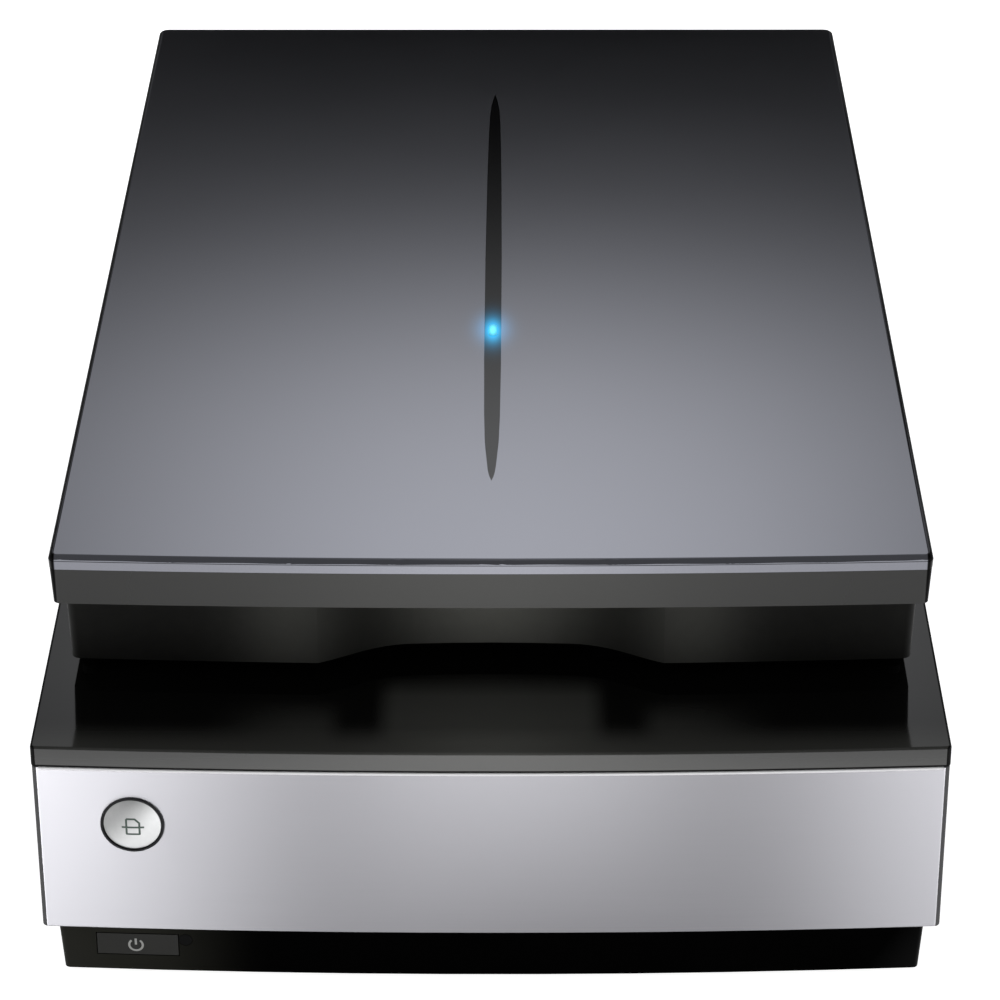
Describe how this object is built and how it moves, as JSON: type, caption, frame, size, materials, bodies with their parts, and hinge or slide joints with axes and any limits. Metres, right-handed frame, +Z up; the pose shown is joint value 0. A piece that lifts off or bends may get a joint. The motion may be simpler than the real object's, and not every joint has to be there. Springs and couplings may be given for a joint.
{
  "type": "flatbed scanner",
  "caption": "Flatbed film and photo scanner: deep base with a silver front, a glass bed, and a thick hinged lid with its own moving lamp.",
  "frame": {"origin": "centre of the bounding box's bottom, on the surface that the feet stand on", "axes": "+X to the operator's right, -Y towards the operator, +Z up; the lid hinges along X at the +Y end"},
  "size_m": [0.308, 0.503, 0.152],
  "materials": {
    "case_black": "fine moulded texture",
    "deck_dark": "glossy dark grey",
    "panel_silver": "fine horizontal brushing",
    "ring_dark": "gloss",
    "indicator_lens": "smoked lens",
    "circuit_board": "green solder mask",
    "glass": "clear float glass",
    "tape": "matt",
    "white_plastic": "satin",
    "rubber": "matt",
    "ground_steel": "ground and polished",
    "sheet_steel": "zinc plated",
    "motor_can": "zinc plated",
    "belt_rubber": "matt",
    "socket_shell": "nickel plated",
    "socket_black": "satin",
    "screw_steel": "plated",
    "button_silver": "silver paint, satin",
    "button_dark": "satin",
    "lock_plastic": "satin",
    "brass_gear": "machined",
    "carriage_plastic": "glass filled, matt",
    "bronze": "sintered",
    "lamp_bar": "white diffuser",
    "clear_plastic": "clear acrylic",
    "mirror": "front silvered",
    "lens_barrel": "black anodised",
    "hinge_plastic": "satin",
    "lid_metallic": "dark metallic paint, satin",
    "groove_dark": "gloss black",
    "blue_light": "lit lens",
    "frame_black": "grained",
    "diffuser": "opal acrylic",
    "mat_black": "satin",
    "mat_white": "matt"
  },
  "bodies": {
    "base": {"lower_case": "case_black", "upper_frame": "deck_dark", "front_panel": "panel_silver", "start_button_ring": "ring_dark", "power_indicator": "indicator_lens", "panel_board": "circuit_board", "platen_glass": "glass", "glass_tape": "tape", "calibration_strip": "white_plastic", "rubber_feet": "rubber", "guide_rod": "ground_steel", "rod_clamps": "sheet_steel", "slide_rail": "sheet_steel", "drive_motor": "motor_can", "motor_bracket": "sheet_steel", "pulley_pins": "ground_steel", "drive_belt": "belt_rubber", "main_board": "circuit_board", "lid_unit_socket": "socket_shell", "usb_socket": "socket_shell", "power_inlet": "socket_black", "base_screws": "screw_steel"},
    "start_button": {"start_button": "button_silver"},
    "power_button": {"power_button": "button_dark"},
    "transport_lock": {"transport_lock": "lock_plastic"},
    "motor_shaft": {"motor_pinion": "brass_gear"},
    "drive_gear": {"drive_gear": "white_plastic"},
    "idler": {"idler_pulley": "white_plastic"},
    "carriage": {"carriage_housing": "carriage_plastic", "rod_bushes": "bronze", "carriage_cover": "carriage_plastic", "carriage_lamp": "lamp_bar", "light_guide": "clear_plastic", "mirrors": "mirror", "fine_lens": "lens_barrel", "standard_lens": "lens_barrel", "sensor_board": "circuit_board"},
    "hinge_legs": {"hinge_legs": "hinge_plastic", "hinge_pins": "ground_steel"},
    "lid": {"hinge_brackets": "sheet_steel", "lid_cover": "lid_metallic", "light_groove": "groove_dark", "lid_light": "blue_light", "lid_boards": "circuit_board", "lid_frame": "frame_black", "lid_window": "diffuser", "lid_pads": "rubber", "lid_grommet": "rubber", "lid_rod": "ground_steel", "lid_rail": "sheet_steel", "lid_motor": "motor_can", "lid_belt": "belt_rubber", "lid_idler_pin": "ground_steel", "lid_screws": "screw_steel"},
    "lid_motor_shaft": {"lid_motor_pulley": "white_plastic"},
    "lid_idler": {"lid_idler_pulley": "white_plastic"},
    "lamp_carriage": {"lamp_holder": "carriage_plastic", "lid_lamp": "lamp_bar"},
    "document_mat": {"mat_carrier": "mat_black", "mat_sheet": "mat_white"}
  },
  "joints": [
    {"name": "start_button_press", "type": "slide", "parent": "base", "child": "start_button", "axis": [0.0411, 0.9992, 0], "range_m": [0, 0.0012], "stiffness_N_per_m": 500},
    {"name": "power_button_press", "type": "slide", "parent": "base", "child": "power_button", "axis": [0, 1, 0], "range_m": [0, 0.0008], "stiffness_N_per_m": 600},
    {"name": "transport_lock_slide", "type": "slide", "parent": "base", "child": "transport_lock", "axis": [1, 0, 0], "range_m": [0, 0.008]},
    {"name": "carriage_slide", "type": "slide", "parent": "base", "child": "carriage", "axis": [0, -1, 0], "range_m": [0, 0.3]},
    {"name": "drive_gear_spin", "type": "hinge", "parent": "base", "child": "drive_gear", "pos_m": [0.03, -0.212, 0.02], "axis": [0, 0, 1], "range_deg": [-2262, 0]},
    {"name": "motor_spin", "type": "hinge", "parent": "base", "child": "motor_shaft", "pos_m": [0.055, -0.212, 0.02], "axis": [0, 0, 1], "range_deg": [0, 5817]},
    {"name": "idler_spin", "type": "hinge", "parent": "base", "child": "idler", "pos_m": [0.03, 0.208, 0.013], "axis": [0, 0, 1], "range_deg": [-2262, 0]},
    {"name": "hinge_lift", "type": "slide", "parent": "base", "child": "hinge_legs", "axis": [0, 0, 1], "range_m": [0, 0.02]},
    {"name": "lid_hinge", "type": "hinge", "parent": "hinge_legs", "child": "lid", "pos_m": [0, 0.243, 0.107], "axis": [-1, 0, 0], "range_deg": [0, 85]},
    {"name": "lamp_slide", "type": "slide", "parent": "lid", "child": "lamp_carriage", "axis": [0, -1, 0], "range_m": [0, 0.3]},
    {"name": "lid_motor_spin", "type": "hinge", "parent": "lid", "child": "lid_motor_shaft", "pos_m": [0.124, 0.185, 0.13], "axis": [0, 0, 1], "range_deg": [0, 2866]},
    {"name": "lid_idler_spin", "type": "hinge", "parent": "lid", "child": "lid_idler", "pos_m": [0.124, -0.178, 0.13], "axis": [0, 0, 1], "range_deg": [0, 2866]},
    {"name": "mat_slide", "type": "slide", "parent": "lid", "child": "document_mat", "axis": [0, -1, 0], "range_m": [0, 0.36]}
  ],
  "couplings": [
    {"joint": "drive_gear_spin", "follows": "carriage_slide", "rad_per_m": -131.58},
    {"joint": "motor_spin", "follows": "carriage_slide", "rad_per_m": 338.35},
    {"joint": "idler_spin", "follows": "carriage_slide", "rad_per_m": -131.58},
    {"joint": "lamp_slide", "follows": "carriage_slide", "ratio": 1},
    {"joint": "lid_motor_spin", "follows": "carriage_slide", "rad_per_m": 166.67},
    {"joint": "lid_idler_spin", "follows": "carriage_slide", "rad_per_m": 166.67}
  ]
}
